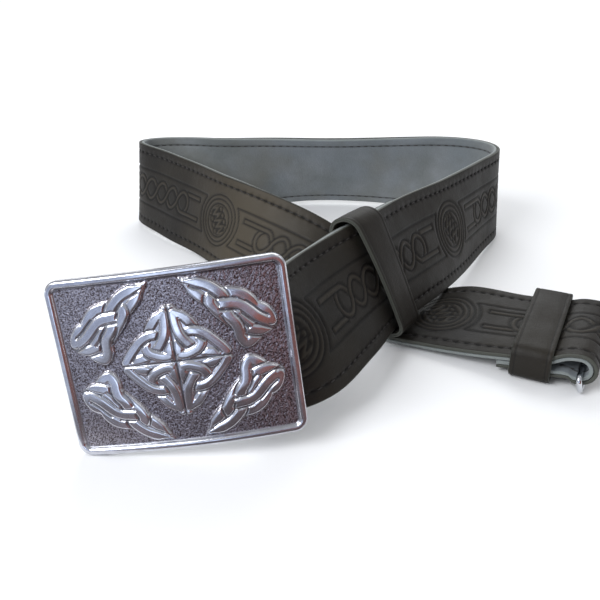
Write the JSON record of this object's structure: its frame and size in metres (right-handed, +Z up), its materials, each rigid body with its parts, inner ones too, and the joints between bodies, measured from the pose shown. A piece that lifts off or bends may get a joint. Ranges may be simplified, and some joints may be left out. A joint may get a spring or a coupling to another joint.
{
  "type": "kilt belt",
  "caption": "Wide double-layer leather belt in a loose crossed loop, with a rectangular knotwork plate buckle, two leather keepers and a wire end ring.",
  "frame": {"origin": "middle of the belt's footprint, on the floor that it lies on", "axes": "+Z up, +Y from the buckle towards the back of the loop, +X towards the free end with the ring"},
  "size_m": [0.2772, 0.3, 0.0793],
  "materials": {
    "smooth_leather": "smooth, dark brown-black, slightly glossy",
    "suede_leather": "grey suede",
    "keeper_leather": "smooth, dark brown-black, worn a little paler",
    "pewter": "polished antique cast metal with a dark stippled ground",
    "bright_wire": "bright plated wire"
  },
  "bodies": {
    "root": {"strap_facing": "smooth_leather", "strap_lining": "suede_leather", "front_keeper": "keeper_leather", "end_keeper": "keeper_leather", "end_ring": "bright_wire", "buckle": "pewter"}
  },
  "joints": []
}
